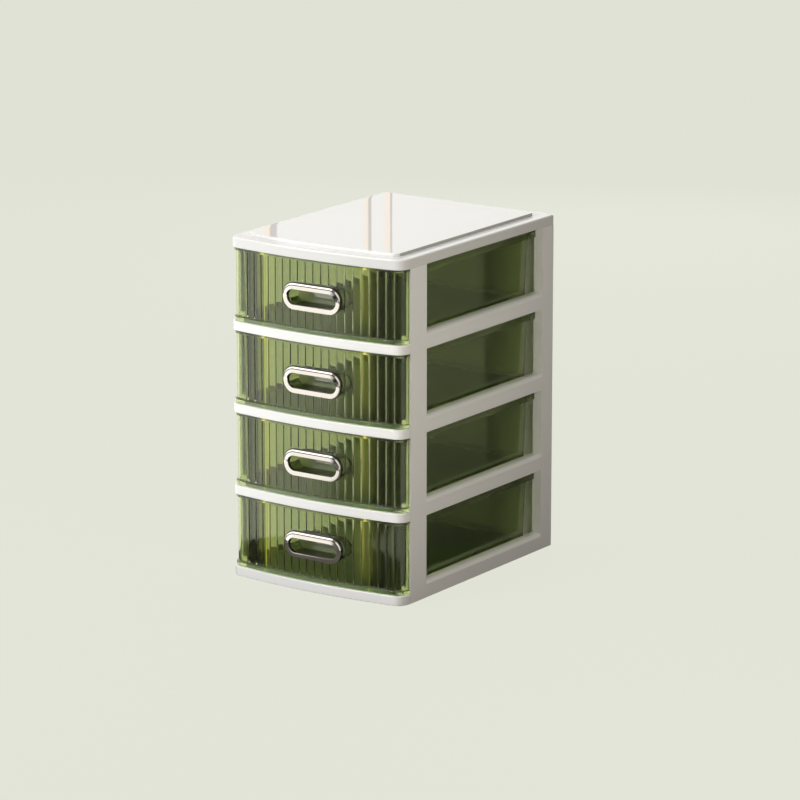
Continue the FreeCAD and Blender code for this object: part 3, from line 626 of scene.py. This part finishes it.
rings = [front_ring(INSIDE, FOOT),
         flange(0.5, FOOT), flange(0.15, FOOT + 0.15), flange(0, FOOT + 0.5),
         flange(0, LEDGE - 0.5), flange(0.15, LEDGE - 0.15), flange(0.5, LEDGE),
         front_ring(FIELD, LEDGE, reed_height), front_ring(FIELD, SOFFIT, reed_height),
         flange(0.4, SOFFIT), flange(0.1, SOFFIT + 0.1), flange(0, SOFFIT + 0.4),
         flange(0, HEAD - 0.4), flange(0.1, HEAD - 0.1), flange(0.4, HEAD),
         front_ring(INSIDE, HEAD)]
front_mesh = carve(join_rings("drawer_front_soft", rings, loop=False), [
    ("UNION", stadium_block("seat", 17.6, -160.34, -157.4, RING_RUN, SEAT_MIDDLE)),
    ("UNION", stadium_block("cup", 12.65, -157.25, -136.35, POCKET_RUN, RING_MIDDLE)),
    ("DIFFERENCE", stadium_block("pocket", 10.65, -175, -138.35, POCKET_RUN, RING_MIDDLE))])
repeat(front_mesh, "drawer_front", "drawer_{}", front_green)

# %% [markdown]
# ## The handles
# A plated ring is fixed round each pocket. Its lower half is a plain flat band. Its upper half swells
# into a hood to pull on, with a flat face, a fine crease and a sloping top. Both halves are one
# outline carried round the ring, which changes from the band to the hood on its way up.

# %% Make the handles
BAND = [(9.2, -160.35), (9.2, -163.1), (9.35, -163.45), (9.7, -163.6), (11, -163.6), (12, -163.6),
        (12.6, -163.6), (13.2, -163.6), (14.8, -163.6), (15.25, -163.45), (15.5, -163.1),
        (15.5, -162.4), (15.5, -160.35)]
HOOD = [(9.2, -160.35), (9.2, -165.3), (9.35, -165.65), (9.7, -165.75), (14.05, -165),
        (14.2, -164.4), (14.5, -164.4), (14.65, -164.9), (17.3, -162.5), (17.6, -162.3),
        (17.75, -162), (17.75, -161.5), (17.75, -160.35)]
HOOD_FULL = 0.4


def handle_section(angle):
    """The outline across the ring, as distance out and depth, at a bearing round it."""
    rise = min(max(math.sin(angle) / HOOD_FULL, 0), 1)
    rise = rise * rise * (3 - 2 * rise)
    return [(r + (far - r) * rise, y + (near - y) * rise)
            for (r, y), (far, near) in zip(BAND, HOOD)]


def handle_skin(steps=40):
    """The ring as one closed skin, in mm turned to metres."""
    stations = [(RING_RUN, math.pi * k / steps - math.pi / 2) for k in range(steps + 1)]
    stations += [(-RING_RUN, turn + math.pi) for _, turn in stations]
    work = bmesh.new()
    rows = [[work.verts.new(((end + r * math.cos(turn)) * MM, y * MM,
                             (RING_MIDDLE + r * math.sin(turn)) * MM))
             for r, y in handle_section(turn)] for end, turn in stations]
    for row, after in zip(rows, rows[1:] + rows[:1]):
        for k in range(len(row)):
            j = (k + 1) % len(row)
            work.faces.new((row[k], row[j], after[j], after[k]))
    bmesh.ops.recalc_face_normals(work, faces=work.faces)
    return smooth_mesh(work, "handle_soft", crisp=32)


repeat(handle_skin(), "handle", "drawer_{}", bright_trim)

# %% [markdown]
# ## Surroundings
# Clear plastic and plating show little of their own and much of what stands round them. A studio
# opens some sides with pale sheets and closes others with dark boards, until each edge has a bright
# or a dark line. The same is done here by bearing: the left side is open, the right side half open,
# the middle of the front closed, and the rear right only dimly open. A ray's own history tells
# whether it comes straight from the camera, through a clear wall, off a mirror or from inside a
# drawer.

# %% Describe the surroundings
BACKDROP = (0.795, 0.811, 0.713, 1)
MIRRORED = (1.12, 1.085, 1.02, 1)
MIRRORED_LEFT = (1.5, 1.48, 1.44, 1)
MIRRORED_RIGHT = (0.95, 1.0, 0.55, 1)


def half_open(bearing, first, last):
    """One between two bearings in degrees, fading to nought beyond them."""
    return within(bearing, first, first + 10, last, last + 6)


def surroundings(start, heading):
    """How open the sides and the rear right are towards a heading, and their mirrored colour."""
    parts = start.node("ShaderNodeSeparateXYZ", values={0: heading}, output="X")
    left = start.math("ARCTAN2", 0 - parts, 0 - parts.beside("Y")) / math.radians(1)
    right = 0 - left
    open_sides = within(left, 20, 34, 172, 178) + half_open(right, 8, 85) * 0.5
    behind_right = half_open(right, 95, 172)
    mirrored = within(left, 36, 50, 80, 110).mix(MIRRORED, MIRRORED_LEFT)
    return open_sides, behind_right, behind_right.mix(mirrored, MIRRORED_RIGHT)


def kinds_of_ray(start):
    """Rays straight from the camera, through clear walls, off a mirror, from a drawer's inside."""
    direct = start.node("ShaderNodeLightPath", output="Is Camera Ray")
    fresh = start.math("LESS_THAN", direct.beside("Diffuse Depth"), 0.5)
    mirror = start.math("GREATER_THAN", direct.beside("Glossy Depth"), 0.5) * fresh
    through = direct.beside("Is Transmission Ray") * fresh * (1 - mirror)
    inside = direct.beside("Is Transmission Ray") * (1 - fresh)
    return direct, through, mirror, inside


print("surroundings ready")

# %% [markdown]
# ## Floor
# The floor is plain and pale, a sheet under the object. What the camera sees of it is one even
# colour with a little real shade in it, so that the object keeps its shadow. In a mirror the floor
# is as open as the surroundings, apart from a painted shadow at the object's foot, and a
# straight-edged card painted on the floor on the right gives the glossy side something to show.

# %% Make the floor
SHADED_FLOOR, LIT_FLOOR = (0.10, 0.095, 0.085, 1), (0.31, 0.315, 0.28, 1)
SHADOW_PATCH_SHIFT = (0.06, 0.2, 0)
CARD_SLOPE, CARD_SHIFT, CARD_EDGE = 1.542, 0.11, 0.004
GLOW_SHARE, FLOOR_REACH = 0.93, 30
floor_finish, start = new_finish("floor_finish")
direct, through, mirror, _ = kinds_of_ray(start)
spot = start.node("ShaderNodeNewGeometry", output="Position")
from_patch = start.node("ShaderNodeVectorMath", {"operation": "ADD"}, {0: spot, 1: SHADOW_PATCH_SHIFT})
away = start.node("ShaderNodeVectorMath", {"operation": "LENGTH"}, {0: from_patch}, "Value")
# A painted shadow round the object's foot, seen in mirrors.
clear_of_painted_shadow = fade(away, 0.17, 0.185)
open_sides, behind_right, mirrored = surroundings(start, from_patch)
spot_x = start.node("ShaderNodeSeparateXYZ", values={0: spot})
# A straight-edged card painted on the floor, seen in mirrors.
past_card = spot_x.beside("Y") - spot_x * CARD_SLOPE + CARD_SHIFT
card = 1 - fade(past_card, -CARD_EDGE, CARD_EDGE)
far_right = behind_right * fade(away, 0.3, 1.3) * (0.04 + card * 0.16)
open_floor = open_sides * clear_of_painted_shadow + far_right
seen = direct + through + mirror * open_floor
lit = start.node("ShaderNodeBsdfDiffuse", values={
    "Color": direct.mix(open_floor.mix(SHADED_FLOOR, BACKDROP), LIT_FLOOR)})
glow = start.node("ShaderNodeEmission",
                  values={"Color": mirror.mix(BACKDROP, mirrored), "Strength": 1})
end_finish(start, start.node("ShaderNodeMixShader", values={0: seen * GLOW_SHARE, 1: lit, 2: glow}))
floor_mesh = bpy.data.meshes.new("floor")
floor_mesh.from_pydata([(x * FLOOR_REACH, y * FLOOR_REACH, 0)
                        for x, y in ((-1, -1), (1, -1), (1, 1), (-1, 1))], [], [(0, 1, 2, 3)])
floor_mesh.materials.append(floor_finish)
floor = bpy.data.objects.new("floor", floor_mesh)
floor.location.z = -0.2 * MM
scene.collection.objects.link(floor)
print("floor:", len(floor_finish.node_tree.nodes), "nodes")

# %% [markdown]
# ## Sky
# The sky gives a weak even fill. It is the backdrop behind the object and what the mirrors show
# above the floor, and inside the drawers it is stronger, as pale walls all round would make it.

# %% Make the sky
SKY_FILL, SKY_SEEN, SKY_INSIDE = 0.16, 0.84, 4
sky = bpy.data.worlds.new("sky")
scene.world = sky
sky.use_nodes = True
sky.node_tree.nodes.clear()
start = Wire(sky.node_tree)
direct, through, mirror, inside = kinds_of_ray(start)
heading = start.node("ShaderNodeTexCoord", output="Generated")
high = fade(start.node("ShaderNodeSeparateXYZ", values={0: heading}, output="Z"), 0.3, 0.6)
open_sides, behind_right, mirrored = surroundings(start, heading)
mirror_open = open_sides * (1 + high * 0.35) + behind_right * 0.2
seen = direct + through + mirror * mirror_open
start.node("ShaderNodeOutputWorld", values={"Surface": start.node("ShaderNodeBackground", values={
    "Color": mirror.mix(BACKDROP, mirrored),
    "Strength": SKY_FILL + inside * SKY_INSIDE + seen * SKY_SEEN})})
print("sky:", len(sky.node_tree.nodes), "nodes")

# %% [markdown]
# ## Lamps
# A large soft lamp in front, to the left and above, is the main light. A second one hangs over the
# cover, a weak warm one lifts the right side, and one behind lights the drawers from the rear, where
# mirrors don't show it.


# %% Set the lamps
def softbox(name, spot, aim, size, power, colour=(1, 1, 1)):
    """A flat soft lamp of a size in metres and a power in watts, turned to what it lights."""
    light = bpy.data.lights.new(name, "AREA")
    light.shape, light.size, light.size_y = "RECTANGLE", size, size
    light.energy, light.color = power, colour
    lamp = bpy.data.objects.new(name, light)
    scene.collection.objects.link(lamp)
    lamp.location = spot
    lamp.rotation_euler = (Vector(spot) - Vector(aim)).to_track_quat("Z", "Y").to_euler()
    lamp.visible_transmission = False
    return lamp


softbox("key", (-1.2, -2.1, 1.35), (0, 0, 0.2), 1.4, 62)
softbox("top", (-0.3, 0.3, 2.4), (0, 0, 0.3), 1.2, 21)
softbox("fill", (1.0, -0.5, 0.6), (0.1, -0.05, 0.25), 0.5, 4.1, (1, 0.92, 0.83))
softbox("back", (-0.9, 2.0, 0.8), (0, 0.1, 0.2), 1, 22).visible_glossy = False

# %% [markdown]
# ## Strips in the gloss
# The cover is glossy enough to mirror upright things behind it as thin warm lines. Three pairs of
# strips stand there, glowing, one painted as lit and one painted as in shade, and only gloss shows
# them.

# %% Set up the strips
STRIP_LIT, STRIP_SHADE = (1.25, 1.0, 0.70, 1), (0.35, 0.26, 0.18, 1)
STRIP_DISTANCE, STRIP_HEIGHT = 1.5, Vector((0, 0, 2))
STRIP_PLACES = [(-0.201, -0.190, -0.179), (-0.044, -0.0375, -0.0325), (-0.0112, -0.0034, -0.0003)]


def strip(name, left, right, colour):
    """A thin upright strip behind the object, between two places across the view."""
    finish, start = new_finish(name + "_finish")
    end_finish(start, start.node("ShaderNodeEmission", values={"Color": colour, "Strength": 1}))
    middle = Vector((-math.sin(AZIMUTH), math.cos(AZIMUTH), 0)) * STRIP_DISTANCE
    low, high = middle + rightward * left, middle + rightward * right
    mesh = bpy.data.meshes.new(name)
    mesh.from_pydata([low, high, high + STRIP_HEIGHT, low + STRIP_HEIGHT], [], [(0, 1, 2, 3)])
    mesh.materials.append(finish)
    made = bpy.data.objects.new(name, mesh)
    scene.collection.objects.link(made)
    made.visible_camera = made.visible_diffuse = False
    made.visible_transmission = made.visible_shadow = False


for k, (left, middle, right) in enumerate(STRIP_PLACES):
    strip(f"pole_lit_{k}", left, middle, STRIP_LIT)
    strip(f"pole_shade_{k}", middle, right, STRIP_SHADE)
print("strips:", 2 * len(STRIP_PLACES))

# %% [markdown]
# ## Finish
# At the end the scene is brought up to date.

# %% Update the scene
bpy.context.view_layer.update()
